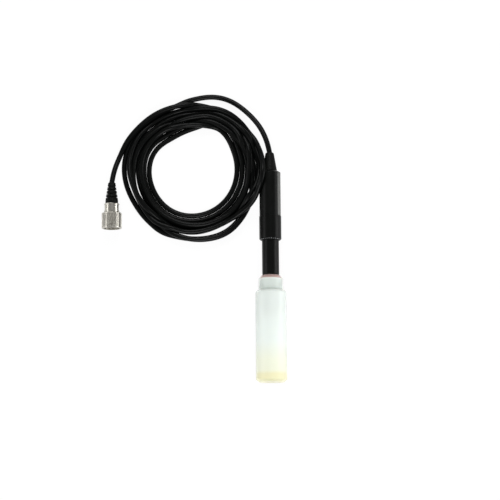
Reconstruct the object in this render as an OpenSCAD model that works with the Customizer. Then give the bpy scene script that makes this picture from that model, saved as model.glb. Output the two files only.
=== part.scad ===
// Dissolved oxygen probe, lying on its side with the tip in a storage bottle.
// The probe lies along Y: cable end at +Y, bottle base at -Y. +Z is up, z = 0 is the table.
// The origin lies below the middle of the probe and bottle, not counting the cord.

/* [Stem] */
// Outside diameter of the black stem
stem_d = 16; // [14:0.1:18]
// Thickness of the stem's wall
stem_wall = 2; // [1.5:0.1:2.5]
// Length of the stem seen between the collar and the bottle's cap
stem_show = 33.2; // [20:0.1:60]
// Length of the probe that is inside the cap and bottle, down to its tip
insert_l = 38; // [34:0.5:60]
// How much slimmer on the radius the inserted end is than the stem
land_step = 0.2; // [0.1:0.05:0.4]
// How far the slim end stands out of the cap
land_show = 1; // [0.5:0.1:3]
// How much the flange stands out past the stem on the radius
flange_lip = 0.7; // [0.5:0.05:1.2]

/* [Collar] */
// Length of the collar
collar_h = 23; // [20:0.1:36]
// Thickness of the collar's wall
collar_wall = 1.65; // [1.2:0.05:3]
// Thickness of the collar's floor, which the stem passes through
collar_floor = 5; // [3:0.5:7]
// Number of notches round the collar's lower rim
notch_count = 30; // [16:1:40]
// Width of one notch
notch_w = 1; // [0.6:0.1:1.4]
// Height of one notch
notch_h = 1.5; // [0.8:0.1:2.5]
// Depth of one notch
notch_depth = 0.9; // [0.5:0.1:1.4]

/* [Handle] */
// Length of the handle above the collar
handle_h = 43.6; // [38:0.1:70]
// How much the collar stands out past the handle on the radius
collar_step = 0.35; // [0.1:0.05:0.8]
// Thickness of the handle's wall
handle_wall = 2; // [1.6:0.1:2.6]
// Thickness of the handle's end wall at the cable
handle_end = 6; // [4:0.5:9]
// Height of the sloping shoulder at the cable end
handle_slope = 2; // [1:0.1:4]
// Thickness of the spigot's wall
spigot_wall = 1.8; // [1.2:0.1:2.4]

/* [Label plate] */
// Angle round the handle that the plate covers
plate_arc = 96; // [60:1:120]
// Angle from the top of the handle to the plate's near edge
plate_from = 46; // [30:1:70]
// Thickness of the plate
plate_t = 0.5; // [0.3:0.1:0.9]
// Distance from each end of the handle's straight side to the plate
plate_end = 0.4; // [0.2:0.1:4]

/* [Strain relief] */
// Length of the strain relief outside the handle
relief_h = 17.3; // [12:0.1:40]
// Diameter at the handle
relief_base_d = 13.8; // [12:0.1:15]
// Diameter at the cable
relief_tip_d = 8; // [7:0.1:10]
// Chamfer round the tip
relief_chamfer = 0.7; // [0.3:0.1:1]
// Diameter of the plug that holds it in the end wall
relief_plug_d = 9; // [7.5:0.1:11]

/* [Storage bottle] */
// How far the bottle stands out past its cap on the radius
bottle_step = 3; // [2.5:0.1:8]
// Height of the bottle from its base to the top of its shoulder
bottle_h = 86.5; // [80:0.1:130]
// Thickness of the bottle's wall
bottle_wall = 1.5; // [0.8:0.1:2]
// Thickness of the bottle's floor
bottle_floor = 2; // [1:0.1:4]
// Radius of the shoulder
shoulder_r = 3.3; // [2:0.1:3.8]
// Chamfer round the base
base_chamfer = 2.5; // [1:0.1:3]
// Height of the damp foam disc at the bottom
foam_h = 8; // [4:0.5:20]
// Thickness of the neck's wall
neck_wall = 1.3; // [1:0.1:2]

/* [Screw cap] */
// Height of the cap
cap_h = 13.6; // [12:0.1:20]
// Height of the sloping top
cap_slope = 3.1; // [2.9:0.1:4]
// Thickness of the cap's wall
cap_wall = 1.25; // [1:0.05:2.5]
// Width of the flat lip round the mouth
cap_lip = 0.2; // [0.1:0.1:0.6]
// Section of the seal ring round the stem
seal_t = 1.5; // [1.2:0.1:1.7]
// Thickness of the washer under the seal ring
washer_t = 1; // [0.6:0.1:1.6]
// Height of the screw thread on the neck
thread_t = 0.6; // [0.45:0.05:0.8]
// Rise of the screw thread in one turn
thread_pitch = 2; // [1.8:0.1:2.4]

/* [Sensing tip] */
// Height of the membrane cap
mcap_h = 14; // [12:0.5:18]
// Thickness of its front wall
mcap_front = 1.2; // [0.8:0.1:2]
// Diameter of the window in its front wall
window_d = 6.8; // [5:0.1:8]
// Thickness of its threaded wall
mcap_wall = 1.1; // [0.9:0.1:1.5]
// Diameter of the electrode post
post_d = 6.4; // [5:0.1:7]
// Thickness of the anode sleeve
anode_t = 0.8; // [0.5:0.1:1.2]
// Thickness of the cathode disc
cathode_t = 0.6; // [0.4:0.1:1]
// Diameter of the temperature sensor's steel button
button_d = 4; // [3:0.1:5]

/* [Inside the handle] */
// Free length of the cores between the circuit board and the cable
core_gap = 2.7; // [1:0.1:6]
// Thickness of the circuit board
board_t = 1.6; // [1:0.1:2]
// Diameter of each wire
wire_d = 1; // [0.6:0.1:1.2]
// Height of the clamp ring on the cable
clamp_h = 4; // [3:0.5:5]

/* [Cable and coil] */
// Diameter of the cable
cable_d = 5; // [4:0.1:6]
// Inside radius of the coil
coil_r_in = 41; // [30:0.5:46]
// Width of the coil's strands side by side
coil_w = 23; // [16:0.5:23]
// Height of the coil
coil_h = 13; // [8:0.5:20]
// Space between the coil and the handle
coil_gap = 1; // [0.5:0.1:5]

/* [Cable plug] */
// Outside diameter of the coupling ring
ring_d = 19; // [18:0.1:22]
// Length of the coupling ring
ring_h = 15; // [12:0.5:17]
// Number of grooves round the coupling ring
ring_grooves = 36; // [24:1:48]
// Outside diameter of the plug's nose
nose_d = 13; // [12:0.1:13.4]
// Length of the plug's body behind the ring
back_h = 14; // [10:0.5:24]
// Length of the plug's rubber boot
boot_h = 20; // [14:0.5:34]
// Number of contact pins round the middle one
pin_count = 6; // [3:1:7]
// Diameter of one contact pin
pin_d = 1; // [0.8:0.1:1.2]

/* [Hidden] */
$fn = 96;

// Clearance of a running or sliding fit, on the radius or between flat faces
run_fit = 0.05;
// Small cut-through added to bores so that they pass both faces
cut = 1;

// Diameters, built outwards from the stem
land_d = stem_d - 2 * land_step;
stem_bore = stem_d - 2 * stem_wall;
flange_d = stem_d + 2 * flange_lip;
collar_bore = flange_d + 2 * run_fit;
collar_d = collar_bore + 2 * collar_wall;
handle_d = collar_d - 2 * collar_step;
handle_bore = handle_d - 2 * handle_wall;
spigot_bore = flange_d - 2 * spigot_wall;
neck_gap = 0.4;
neck_bore = stem_d + 2 * neck_gap;
neck_d = neck_bore + 2 * neck_wall;
cap_bore = neck_d + 2 * thread_t + 2 * run_fit;
cap_d = cap_bore + 2 * cap_wall;
bottle_d = cap_d + 2 * bottle_step;
bottle_bore = bottle_d - 2 * bottle_wall;
mouth_d = stem_d + 0.6;

// Places along the probe, measured up from the bottle's base
cap_gap = 0.3;
z_cap0 = bottle_h + cap_gap;
z_cap1 = z_cap0 + cap_h;
z_collar0 = z_cap1 + stem_show;
z_collar1 = z_collar0 + collar_h;
z_handle1 = z_collar1 + handle_h;
total_l = z_handle1 + relief_h;
axis_h = bottle_d / 2;

// Seal ring and washer inside the cap's sloping top
slope_run = cap_d / 2 - mouth_d / 2 - cap_lip;
slope_wall = 1.15;
seal_r = land_d / 2 + run_fit + seal_t / 2;
slope_len = norm([slope_run, cap_slope]);
// Distance of the seal's centre below the cap's top, where it lies against the slope inside
seal_drop = ((seal_t / 2 + run_fit) * slope_len / cap_slope + slope_wall + seal_r
             - mouth_d / 2 - cap_lip) * cap_slope / slope_run;
z_seal = z_cap1 - seal_drop;
z_washer0 = z_seal - seal_t / 2 - washer_t;
z_neck1 = z_washer0 - run_fit;

// Screw ridges on the neck and in the cap, which mesh half a pitch apart
thread_turns = 2.5;
thread_steps = 24;
ridge_h = thread_t - run_fit;
z_thread0 = z_cap0 + 1.4;

// Stem, flange and collar
z_flange0 = z_collar0 + collar_floor;
flange_t = 3;
stem_seal_t = 1.8;
z_land1 = z_cap1 + land_show;

// Sensing tip
z_probe0 = z_cap1 - insert_l;
z_stem0 = z_probe0 + mcap_h;
gasket_t = 1;
nose_h = mcap_h - 6.5;
thread_d = land_d - 2 * mcap_wall - 2 * run_fit;
cavity_d = thread_d - 2.2;
membrane_t = 0.25;
membrane_ring_t = 1;
film_gap = 0.3;
shank_h = 14;
z_cathode0 = z_probe0 + mcap_front + membrane_t + film_gap;

// Inside the handle
z_board0 = z_collar1 + 3;
board_w = handle_bore - 2.4;
rail_t = 1;
wire_x = 2;
core_x = 1.2;
wire_y = board_t / 2 + wire_d / 2;
solder_l = 5;
z_clamp0 = z_handle1 - handle_end - clamp_h;
z_tail0 = z_clamp0 - 1;
board_l = z_tail0 - core_gap - z_board0;
z_bung0 = z_flange0 - 2;
bung_h = 10;

// Coil centre and the plug's place on the table
coil_centre = [-(handle_d / 2 + coil_gap + coil_w + coil_r_in), 94, 0];
plug_place = [-150, 82, 0];
boot_base_d = 12;
boot_tip_d = 7;
nose_wall = 1;
nose_h_out = 9;
plug_l = boot_h + back_h + nose_h_out;

// Route of the cable from the strain relief round to the coil
relief_exit = [0, total_l / 2, axis_h];
lead_route = [
  relief_exit, relief_exit + [0, 5, 0],
  [-3, 122, 14], [-9, 136, 11], [-21, 150, 7], [-32, 160, 4],
  [-42, 165, 3], [-55, 167, 3], [-68, 165, 3], [-80, 161, 3],
  [-91, 156, 3], [-100, 152, 3]
];
// Route of the cable from the coil to the plug's boot
boot_entry = plug_place + [0, 0, ring_d / 2];
plug_route = [
  [-112, 147, 3], [-122, 139, 3], [-131, 129, 3], [-138, 118, 3], [-143, 108, 4], [-147, 98, 7],
  boot_entry + [0, 4, 0], boot_entry
];

// Lays a piece that was made upright, with the bottle's base at z = 0, along Y
module lay() {
  translate([0, -total_l / 2, axis_h]) rotate([-90, 0, 0]) children();
}

// Ring of rectangular section, with its lower face at z0
module ring(outer_d, inner_d, z0, h) {
  translate([0, 0, z0]) difference() {
    cylinder(d = outer_d, h = h);
    translate([0, 0, -cut]) cylinder(d = inner_d, h = h + 2 * cut);
  }
}

// Solid disc with its lower face at z0
module disc(d, z0, h) {
  translate([0, 0, z0]) cylinder(d = d, h = h);
}

// Points on an arc from angle a0 to a1 about [x, y]
function arc(x, y, r, a0, a1, steps = 10) =
  [for (i = [0 : steps]) let (a = a0 + (a1 - a0) * i / steps) [x + r * cos(a), y + r * sin(a)]];

// Right-handed screw ridge that stands out from radius r by h, or inwards where h is negative.
// Its foot is sunk into the wall, and it grows out of the wall and back into it at its ends.
module screw_ridge(r, h, z0) {
  n = thread_turns * thread_steps;
  side = sign(h);
  reach = h > 0 ? 1 : 1 / cos(180 / thread_steps);
  points = [for (i = [0 : n])
    let (a = 360 * i / thread_steps, z = z0 + thread_pitch * i / thread_steps,
         grow = min(1, i / 3, (n - i) / 3), foot = r - side * 0.35,
         crest = (r + h * grow - side * 0.1 * (1 - grow)) * reach)
      each [for (p = [[foot, -0.6], [crest, -0.25], [crest, 0.25], [foot, 0.6]])
        [p[0] * cos(a), p[0] * sin(a), z + side * p[1]]]];
  walls = [for (i = [0 : n - 1], j = [0 : 3]) let (k = (j + 1) % 4)
    each [[4 * i + j, 4 * i + k, 4 * i + 4 + k], [4 * i + j, 4 * i + 4 + k, 4 * i + 4 + j]]];
  polyhedron(points = points, faces = concat([[3, 2, 1, 0]], walls,
    [[4 * n, 4 * n + 1, 4 * n + 2, 4 * n + 3]]), convexity = 6);
}

// Blow-moulded bottle: chamfered base, straight body, rounded shoulder and screw neck
module storage_bottle() {
  r_out = bottle_d / 2;
  r_in = bottle_bore / 2;
  r_sh = min(shoulder_r, r_out - neck_d / 2);
  r_sh_in = max(r_sh - bottle_wall, 0.5);
  outside = concat(
    [[0, 0], [r_out - base_chamfer, 0], [r_out, base_chamfer]],
    arc(r_out - r_sh, bottle_h - r_sh, r_sh, 0, 90),
    [[neck_d / 2, bottle_h], [neck_d / 2, z_neck1]]);
  inside = concat(
    [[neck_bore / 2, z_neck1], [neck_bore / 2, bottle_h - bottle_wall]],
    arc(r_in - r_sh_in, bottle_h - bottle_wall - r_sh_in, r_sh_in, 90, 0),
    [[r_in, bottle_floor + bottle_wall], [r_in - bottle_wall, bottle_floor], [0, bottle_floor]]);
  color("gainsboro") lay() {
    rotate_extrude() polygon(concat(outside, inside));
    screw_ridge(neck_d / 2, ridge_h, z_thread0);
  }
}

// Damp foam disc at the bottom of the bottle
module foam_pad() {
  r = bottle_bore / 2 - 0.1;
  color("khaki") lay() translate([0, 0, bottle_floor]) rotate_extrude() polygon([
    [0, 0], [r - bottle_wall, 0], [r, bottle_wall], [r, foam_h - 0.6], [r - 0.6, foam_h], [0, foam_h]
  ]);
}

// Screw cap with a sloping top that presses the seal ring onto the stem
module bottle_cap() {
  r_lip = mouth_d / 2 + cap_lip;
  z_in = z_cap1 - cap_slope;
  r_in_top = mouth_d / 2;
  z_in_top = z_cap1 - (r_in_top + slope_wall - r_lip) * cap_slope / slope_run;
  z_bore1 = z_cap1 - (cap_bore / 2 + slope_wall - r_lip) * cap_slope / slope_run;
  color("whitesmoke") lay() {
    rotate_extrude() polygon([
      [cap_bore / 2, z_cap0], [cap_d / 2 - 0.4, z_cap0], [cap_d / 2, z_cap0 + 0.4],
      [cap_d / 2, z_in], [r_lip, z_cap1], [r_in_top, z_cap1],
      [r_in_top, z_in_top], [cap_bore / 2, z_bore1]
    ]);
    screw_ridge(cap_bore / 2, -ridge_h, z_thread0 + thread_pitch / 2);
  }
}

// Seal ring squeezed between the cap's slope, the washer and the stem
module cap_seal() {
  color("indianred") lay() translate([0, 0, z_seal])
    rotate_extrude() translate([seal_r, 0]) circle(d = seal_t);
}

// Slip washer that keeps the turning cap from dragging the seal
module seal_washer() {
  color("white") lay() ring(cap_bore - 2 * run_fit, stem_d + 0.4, z_washer0, washer_t);
}

// Stem tube with a slim end for the bottle and a flange that the collar clamps
module stem_tube() {
  neck_r = spigot_bore / 2 - run_fit;
  color([0.1, 0.1, 0.11]) lay() difference() {
    rotate_extrude() polygon([
      [stem_bore / 2, z_stem0], [land_d / 2 - 0.4, z_stem0], [land_d / 2, z_stem0 + 0.4],
      [land_d / 2, z_land1], [stem_d / 2, z_land1 + land_step], [stem_d / 2, z_collar0],
      [land_d / 2, z_collar0], [land_d / 2, z_flange0], [flange_d / 2, z_flange0],
      [flange_d / 2, z_flange0 + flange_t], [neck_r, z_flange0 + flange_t],
      [neck_r, z_flange0 + flange_t + 6], [stem_bore / 2, z_flange0 + flange_t + 6]
    ]);
    button_axis() cylinder(d = button_d, h = stem_d);
  }
}

// Seal ring between the stem's flange and the handle's spigot
module stem_seal() {
  color("dimgray") lay() translate([0, 0, z_flange0 + flange_t + stem_seal_t / 2])
    rotate_extrude() translate([spigot_bore / 2 + stem_seal_t / 2, 0]) circle(d = stem_seal_t);
}

// Locking collar with a notched lower rim
module collar() {
  r = collar_d / 2;
  color([0.12, 0.12, 0.13]) lay() difference() {
    rotate_extrude() polygon([
      [land_d / 2 + land_step + run_fit, z_collar0], [r - 1.2, z_collar0], [r, z_collar0 + 1.2],
      [r, z_collar1 - 0.3], [r - 0.3, z_collar1], [collar_bore / 2, z_collar1],
      [collar_bore / 2, z_flange0 - run_fit],
      [land_d / 2 + land_step + run_fit, z_flange0 - run_fit]
    ]);
    for (i = [0 : notch_count - 1])
      rotate([0, 0, i * 360 / notch_count])
        translate([r - notch_depth, -notch_w / 2, z_collar0 - cut])
          cube([notch_depth + cut, notch_w, notch_h + cut]);
  }
}

// Hollow handle with a sloping cable end, a spigot for the collar and rails for the board
module handle_shell() {
  r = handle_d / 2;
  z_in1 = z_handle1 - handle_end;
  rail_l = board_l + 2;
  color([0.1, 0.1, 0.11]) lay() {
    difference() {
      rotate_extrude() polygon([
        [spigot_bore / 2, z_flange0 + flange_t + stem_seal_t],
        [flange_d / 2, z_flange0 + flange_t + stem_seal_t],
        [flange_d / 2, z_collar1 + run_fit], [r, z_collar1 + run_fit], [r, z_handle1 - handle_slope],
        [relief_base_d / 2, z_handle1], [relief_plug_d / 2, z_handle1], [relief_plug_d / 2, z_in1],
        [handle_bore / 2, z_in1], [handle_bore / 2, z_collar1 + 2], [spigot_bore / 2, z_collar1 + 1]
      ]);
      plate_ring(cut);
    }
    for (side = [-1, 1], face = [-1, 1])
      translate([side * (handle_bore / 2 - 0.9), face * (board_t / 2 + rail_t / 2), z_board0 + rail_l / 2])
        cube([2.4, rail_t, rail_l], center = true);
  }
}

// Curved band that the label plate fills in the handle's side, thicker outwards by over
module plate_ring(over = 0) {
  z0 = z_collar1 + plate_end;
  h = handle_h - handle_slope - 2 * plate_end;
  rotate([0, 0, plate_from - 90])
    translate([0, 0, z0]) rotate_extrude(angle = plate_arc)
      translate([handle_d / 2 - plate_t, 0]) square([plate_t + over, h]);
}

// Bare label plate let into the handle's side
module label_plate() {
  color([0.48, 0.48, 0.47]) lay() plate_ring();
}

// Moulded strain relief with a plug that is held in the handle's end wall
module strain_relief() {
  color([0.13, 0.13, 0.13]) lay() rotate_extrude() polygon([
    [cable_d / 2, z_handle1 - handle_end], [relief_plug_d / 2, z_handle1 - handle_end],
    [relief_plug_d / 2, z_handle1], [relief_base_d / 2, z_handle1],
    [relief_tip_d / 2, total_l - relief_chamfer],
    [relief_tip_d / 2 - relief_chamfer, total_l], [cable_d / 2, total_l]
  ]);
}

// End of the cable inside the strain relief and handle
module cable_tail() {
  color([0.15, 0.15, 0.15]) lay() disc(cable_d, z_tail0, total_l - z_tail0);
}

// Clamp ring that keeps the cable from being pulled out
module cable_clamp() {
  color("silver") lay() difference() {
    ring(relief_plug_d + 2.4, cable_d, z_clamp0, clamp_h);
    translate([0, -0.4, z_clamp0 - cut]) cube([relief_plug_d, 0.8, clamp_h + 2 * cut]);
  }
}

// Four wires at [+-x, +-y], from z0 up to z1
module wires(x, z0, z1) {
  for (side = [-1, 1], face = [-1, 1])
    translate([side * x, face * wire_y, z0]) cylinder(d = wire_d, h = z1 - z0, $fn = 24);
}

// Cores of the cable, soldered to the upper end of the board
module cable_cores() {
  color("orange") lay() wires(core_x, z_board0 + board_l - solder_l, z_tail0);
}

// Circuit board that slides between the handle's rails
module circuit_board() {
  color("seagreen") lay() translate([-board_w / 2, -board_t / 2, z_board0])
    cube([board_w, board_t, board_l]);
}

// Amplifier chip on the board
module amplifier_chip() {
  color([0.2, 0.2, 0.2]) lay() translate([-3, board_t / 2, z_board0 + board_l / 2 - 2.5])
    cube([6, 1.4, 5]);
}

// Leads from the sensing tip, up through the stem to the board
module sensor_leads() {
  color("goldenrod") lay() wires(wire_x, z_stem0 + shank_h, z_board0 + solder_l);
}

// Rubber bung that closes the stem's upper end round the leads
module lead_bung() {
  color("dimgray") lay() difference() {
    disc(stem_bore, z_bung0, bung_h);
    wires(wire_x, z_bung0 - cut, z_bung0 + bung_h + cut);
  }
}

// Insulating body that carries both electrodes, with a nose that the membrane cap screws onto
module electrode_body() {
  color([0.25, 0.25, 0.26]) lay() difference() {
    rotate_extrude() polygon([
      [0, z_cathode0 + cathode_t], [post_d / 2, z_cathode0 + cathode_t],
      [post_d / 2, z_stem0 - nose_h], [thread_d / 2, z_stem0 - nose_h],
      [thread_d / 2, z_stem0], [stem_bore / 2, z_stem0],
      [stem_bore / 2, z_stem0 + shank_h], [0, z_stem0 + shank_h]
    ]);
    button_axis() cylinder(d = 2.6, h = stem_d, $fn = 32);
  }
}

// Turns a piece so that its z runs out of the stem's side at the temperature sensor
module button_axis() {
  translate([0, 0, z_stem0 + shank_h / 2]) rotate([0, 90, 0]) translate([0, 0, 3]) children();
}

// Gold cathode disc behind the membrane
module cathode_disc() {
  color("gold") lay() disc(4, z_cathode0, cathode_t);
}

// Silver anode sleeve round the post
module anode_sleeve() {
  z0 = z_cathode0 + cathode_t + 1;
  color("silver") lay() ring(post_d + 2 * anode_t, post_d, z0, z_stem0 - nose_h - z0);
}

// Steel button in the stem's side that carries heat to the thermistor
module temperature_button() {
  color("lightsteelblue") lay() difference() {
    intersection() {
      button_axis() cylinder(d = button_d, h = stem_d);
      disc(land_d, z_stem0, shank_h);
    }
    disc(stem_bore, z_stem0 - cut, shank_h + 2 * cut);
  }
}

// Thermistor bead in its pocket behind the button
module thermistor() {
  color("saddlebrown") lay() button_axis() cylinder(d = 2.4, h = stem_bore / 2 - 3.1, $fn = 32);
}

// Membrane cap that screws onto the electrode body
module membrane_cap() {
  r_bore = thread_d / 2 + run_fit;
  z1 = z_stem0 - gasket_t - 2 * run_fit;
  z_step = z_stem0 - nose_h - 1;
  color([0.16, 0.16, 0.17]) lay() rotate_extrude() polygon([
    [window_d / 2, z_probe0], [land_d / 2 - 1, z_probe0], [land_d / 2, z_probe0 + 1],
    [land_d / 2, z1], [r_bore, z1], [r_bore, z_step], [cavity_d / 2, z_step],
    [cavity_d / 2, z_probe0 + mcap_front], [window_d / 2, z_probe0 + mcap_front]
  ]);
}

// Oxygen-permeable membrane behind the window
module membrane() {
  color("azure") lay() disc(cavity_d, z_probe0 + mcap_front, membrane_t);
}

// Ring that holds the membrane down
module membrane_ring() {
  color("white") lay()
    ring(cavity_d, post_d + 2, z_probe0 + mcap_front + membrane_t, membrane_ring_t);
}

// Gasket between the membrane cap and the stem's end
module membrane_gasket() {
  color("dimgray") lay()
    ring(land_d - 0.4, thread_d + 2 * run_fit, z_stem0 - gasket_t - run_fit, gasket_t);
}

// Spline through four points of a route: the point at t between p1 and p2
function blend(p0, p1, p2, p3, t) =
  0.5 * (2 * p1 + (p2 - p0) * t + (2 * p0 - 5 * p1 + 4 * p2 - p3) * t * t
         + (3 * p1 - p0 - 3 * p2 + p3) * t * t * t);
// Smooth centre line through a route, with a few points to each stretch
function smooth(route, steps = 2) = concat(
  [for (i = [0 : len(route) - 2], s = [0 : steps - 1])
    blend(route[max(i - 1, 0)], route[i], route[i + 1], route[min(i + 2, len(route) - 1)], s / steps)],
  [route[len(route) - 1]]);
function unit(v) = v / norm(v);
// Direction of travel at point i of a centre line, with its two ends held straight
function heading(line, i, first, last) =
  i == 0 ? first : i == len(line) - 1 ? last : unit(line[i + 1] - line[i - 1]);

// Round tube swept along a centre line, with flat ends square to first and last
module tube(line, d, first, last, sides = 12) {
  rings = [for (i = [0 : len(line) - 1])
    let (f = heading(line, i, first, last), side = unit(cross(f, [0, 0, 1])), up = cross(side, f))
      [for (k = [0 : sides - 1]) let (a = 360 * k / sides)
        line[i] + d / 2 * (cos(a) * side + sin(a) * up)]];
  points = [for (r = rings) each r];
  walls = [for (i = [0 : len(line) - 2], k = [0 : sides - 1]) let (n = (k + 1) % sides)
    [i * sides + k, i * sides + n, (i + 1) * sides + n, (i + 1) * sides + k]];
  start = [for (k = [sides - 1 : -1 : 0]) k];
  end = [for (k = [0 : sides - 1]) (len(line) - 1) * sides + k];
  polyhedron(points = points, faces = concat([start], walls, [end]), convexity = 4);
}

// Cable from the strain relief to the coil
module cable_lead() {
  last = len(lead_route) - 1;
  color([0.15, 0.15, 0.15])
    tube(smooth(lead_route), cable_d, [0, 1, 0], unit(lead_route[last] - lead_route[last - 1]));
}

// Outer shape of the coiled cable
module cable_coil() {
  r = min(coil_h, coil_w) / 2 - 0.5;
  color([0.18, 0.18, 0.18]) translate(coil_centre) rotate_extrude()
    translate([coil_r_in, 0]) hull() {
      translate([r, r]) circle(r = r, $fn = 48);
      translate([coil_w - r, r]) circle(r = r, $fn = 48);
      translate([r, coil_h - r]) circle(r = r, $fn = 48);
      translate([coil_w - r, coil_h - r]) circle(r = r, $fn = 48);
    }
}

// Cable from the coil to the plug
module plug_lead() {
  color([0.15, 0.15, 0.15])
    tube(smooth(plug_route), cable_d, unit(plug_route[1] - plug_route[0]), [0, -1, 0]);
}

// Lays a plug piece that was made upright, with the boot's tip at z = 0, pointing towards -Y
module lay_plug() {
  translate(boot_entry) rotate([90, 0, 0]) children();
}

// Ribbed rubber boot behind the plug
module plug_boot() {
  color([0.12, 0.12, 0.12]) lay_plug() difference() {
    rotate_extrude() polygon([
      [0, 0], [boot_tip_d / 2 - 0.5, 0], [boot_tip_d / 2, 0.5],
      [boot_base_d / 2, boot_h - 3], [boot_base_d / 2, boot_h], [0, boot_h]
    ]);
    for (i = [1 : 4])
      ring(boot_base_d + cut, 5.4 + 0.8 * i, i * (boot_h - 3) / 5, 1.2);
  }
}

// Back nut of the plug, with two flats for a spanner
module plug_back() {
  color("silver") lay_plug() difference() {
    rotate_extrude() polygon([
      [0, boot_h], [6.7, boot_h], [7.3, boot_h + 0.6], [7.3, boot_h + back_h - 6], [0, boot_h + back_h - 6]
    ]);
    for (side = [-1, 1])
      translate([side * (6.5 + 5), 0, boot_h + 4]) cube([10, 20, 6], center = true);
  }
}

// Metal body of the plug: a shoulder for the ring and the nose that enters the socket
module plug_body() {
  z0 = boot_h + back_h - 6;
  z1 = boot_h + back_h;
  color("silver") lay_plug() difference() {
    rotate_extrude() polygon([
      [0, z0], [7, z0], [7, z1 - 2], [7.6, z1 - 2], [7.6, z1], [nose_d / 2, z1],
      [nose_d / 2, plug_l - 0.4], [nose_d / 2 - 0.4, plug_l],
      [nose_d / 2 - nose_wall, plug_l], [nose_d / 2 - nose_wall, z1], [0, z1]
    ]);
    translate([0, nose_d / 2, plug_l - 2]) cube([2, 3, 6], center = true);
  }
}

// Knurled coupling ring that turns on the plug's body
module coupling_ring() {
  z1 = boot_h + back_h;
  z0 = z1 - 5;
  color("lightgray") lay_plug() difference() {
    rotate_extrude() polygon([
      [7 + run_fit, z0], [ring_d / 2 - 0.5, z0], [ring_d / 2, z0 + 0.5],
      [ring_d / 2, z0 + ring_h - 0.5], [ring_d / 2 - 0.5, z0 + ring_h],
      [7.6 + run_fit, z0 + ring_h], [7.6 + run_fit, z1 - 2 - run_fit], [7 + run_fit, z1 - 2 - run_fit]
    ]);
    for (i = [0 : ring_grooves - 1])
      rotate([0, 0, i * 360 / ring_grooves])
        translate([ring_d / 2, 0, z0 + ring_h / 2]) rotate([0, 0, 45])
          cube([0.6, 0.6, ring_h - 2.4], center = true);
  }
}

// Insulating insert that holds the contact pins
module plug_insert() {
  z1 = boot_h + back_h;
  color([0.1, 0.1, 0.1]) lay_plug() difference() {
    disc(nose_d - 2 * nose_wall, z1, 3.5);
    pin_group(z1 - cut, 3.5 + 2 * cut);
  }
}

// One pin in the middle and the rest in a circle round it, from z0 for a height h
module pin_group(z0, h) {
  translate([0, 0, z0]) {
    cylinder(d = pin_d, h = h, $fn = 24);
    for (i = [0 : pin_count - 1])
      rotate([0, 0, i * 360 / pin_count]) translate([3.2, 0, 0]) cylinder(d = pin_d, h = h, $fn = 24);
  }
}

// Contact pins, which end just inside the nose's rim
module plug_pins() {
  color("gold") lay_plug() pin_group(boot_h + back_h, nose_h_out - 1);
}

// Flat seal round the foot of the nose
module plug_seal() {
  color("indianred") lay_plug() ring(15, nose_d, boot_h + back_h, 1.2);
}

storage_bottle();
foam_pad();
bottle_cap();
cap_seal();
seal_washer();
stem_tube();
stem_seal();
collar();
handle_shell();
label_plate();
strain_relief();
cable_tail();
cable_clamp();
cable_cores();
circuit_board();
amplifier_chip();
sensor_leads();
lead_bung();
electrode_body();
cathode_disc();
anode_sleeve();
temperature_button();
thermistor();
membrane_cap();
membrane();
membrane_ring();
membrane_gasket();
cable_lead();
cable_coil();
plug_lead();
plug_boot();
plug_back();
plug_body();
coupling_ring();
plug_insert();
plug_pins();
plug_seal();
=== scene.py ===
# %% [markdown]
# A dissolved oxygen probe and its coiled cable
#
# A handheld probe lies on a white table with its sensing tip in a milky storage bottle, and its
# black cable lies in a coil beside it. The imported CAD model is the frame: it holds every rigid
# piece at its place, in metres. This lesson adds what CAD is poor at: a soft cable that has
# settled under its own weight, a small ring, the finishes, a camera and light.
#
# The camera comes first, because every later choice is judged through it. The cable is next,
# because it is the largest form. Then each finish is made from what the real one is, and the
# light is last.

# %% Load the frame and note its box
import math

import bmesh
import bpy
import numpy as np
from mathutils import Matrix, Vector


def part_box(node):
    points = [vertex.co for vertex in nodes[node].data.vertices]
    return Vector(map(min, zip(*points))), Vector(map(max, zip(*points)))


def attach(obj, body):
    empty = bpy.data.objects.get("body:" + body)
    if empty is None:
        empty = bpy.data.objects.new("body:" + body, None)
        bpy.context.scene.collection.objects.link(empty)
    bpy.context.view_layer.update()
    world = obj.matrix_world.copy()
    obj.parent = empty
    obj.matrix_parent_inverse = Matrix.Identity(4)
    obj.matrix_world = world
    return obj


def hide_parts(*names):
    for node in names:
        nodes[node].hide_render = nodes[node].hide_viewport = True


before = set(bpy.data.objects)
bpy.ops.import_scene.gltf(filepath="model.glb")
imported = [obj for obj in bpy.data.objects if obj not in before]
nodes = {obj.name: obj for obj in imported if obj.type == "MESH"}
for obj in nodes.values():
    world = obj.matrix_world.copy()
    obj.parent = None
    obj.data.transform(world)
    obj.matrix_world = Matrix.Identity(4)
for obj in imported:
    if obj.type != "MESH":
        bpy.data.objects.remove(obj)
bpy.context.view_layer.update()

# %% Measure the pieces that the cable touches
MM_IN_M = 1000
handle_lo, handle_hi = (np.array(corner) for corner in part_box("handle_shell"))
coil_lo, coil_hi = (np.array(corner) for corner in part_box("cable_coil"))
boot_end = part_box("plug_boot")[1][1]
axis_z = (handle_lo[2] + handle_hi[2]) / 2
print("the probe's axis lies", round(axis_z * MM_IN_M, 2), "mm above the table")
print("the coil lies from x", round(coil_lo[0], 4), "to", round(coil_hi[0], 4))

# %% [markdown]
# The camera
#
# The picture was taken from almost straight above: the ends of the round pieces look like thin
# ellipses, which gives a height of 82 degrees. A camera can be aimed by eye in the viewport or
# placed by numbers. Numbers are chosen here, because the picture's width and middle are known in
# metres, and the lens follows from them and from the distance.

# %% Place the camera
CAMERA_HEIGHT_DEG = 82
CAMERA_ROLL_DEG = 0.45
CAMERA_DISTANCE = 1.8
VIEW_WIDTH = 0.471
VIEW_CENTRE = Vector((-0.0193, 0.01585, axis_z))


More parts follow.
